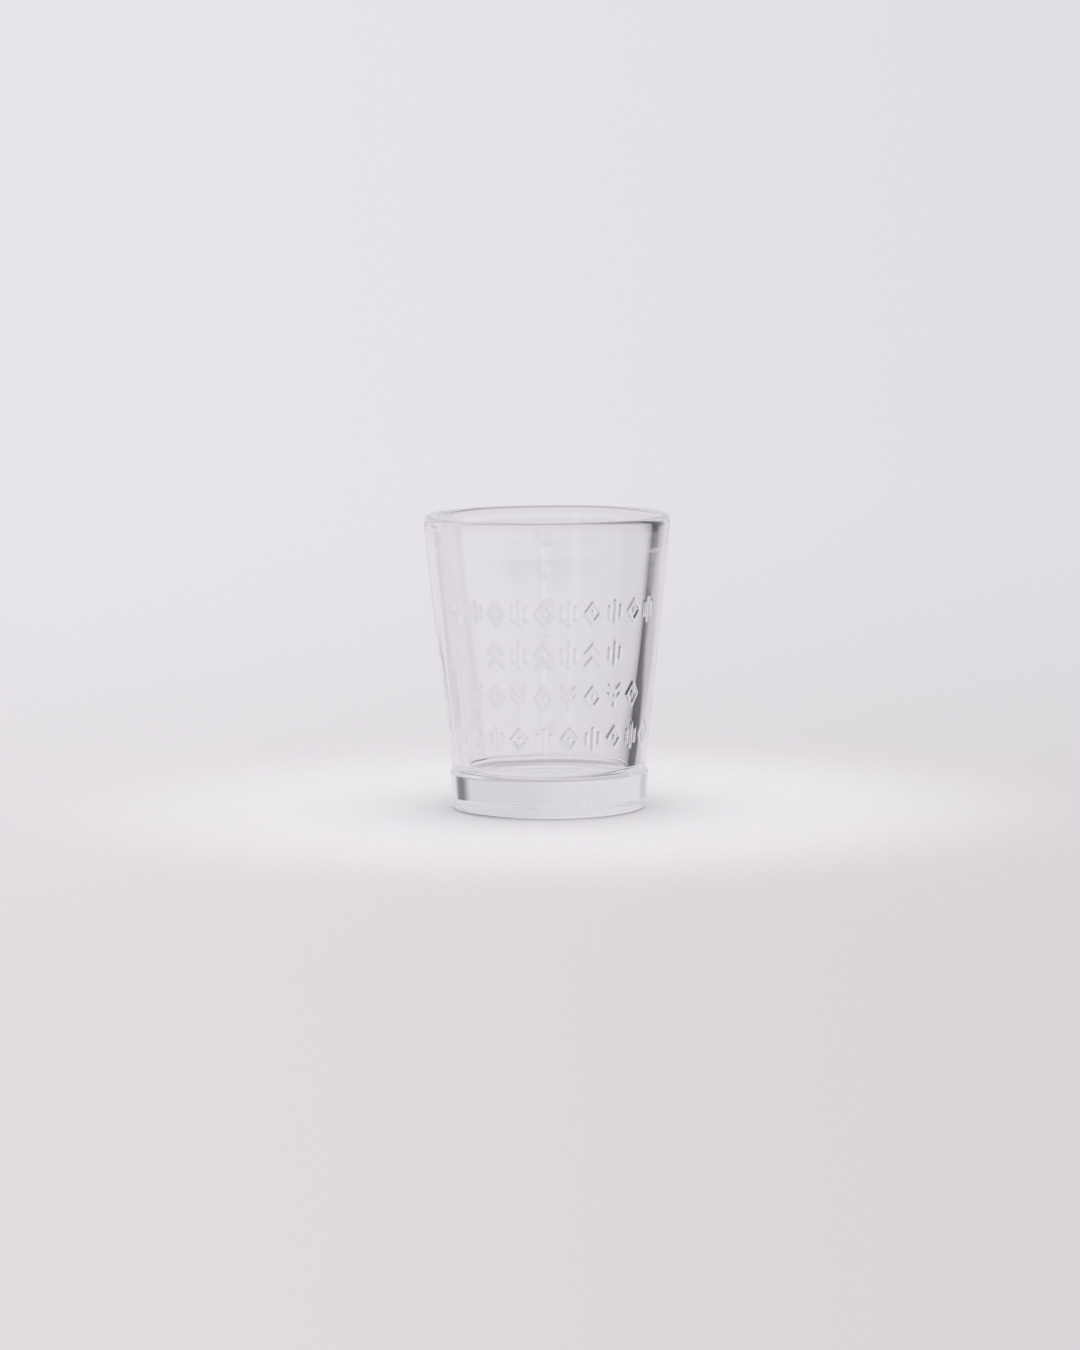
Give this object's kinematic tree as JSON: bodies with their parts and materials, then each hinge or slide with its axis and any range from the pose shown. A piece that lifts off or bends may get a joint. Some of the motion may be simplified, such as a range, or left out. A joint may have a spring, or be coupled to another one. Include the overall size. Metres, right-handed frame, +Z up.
{
  "type": "toothbrush tumbler",
  "caption": "Small tapered tumbler of clear pressed glass with a solid ledged foot and a raised measuring scale, made to stand a toothbrush in.",
  "frame": {"origin": "middle of the rest ring under the foot, on the cup's axis", "axes": "+Z up along the cup's axis; +Y towards the raised measuring scale on the wall, so the front of the wall, opposite the scale, faces -Y"},
  "size_m": [0.055, 0.055, 0.066],
  "materials": {
    "clear_glass": "clear polished pressed glass, fire-polished at the lip"
  },
  "bodies": {
    "root": {"glass_cup": "clear_glass"}
  },
  "joints": []
}
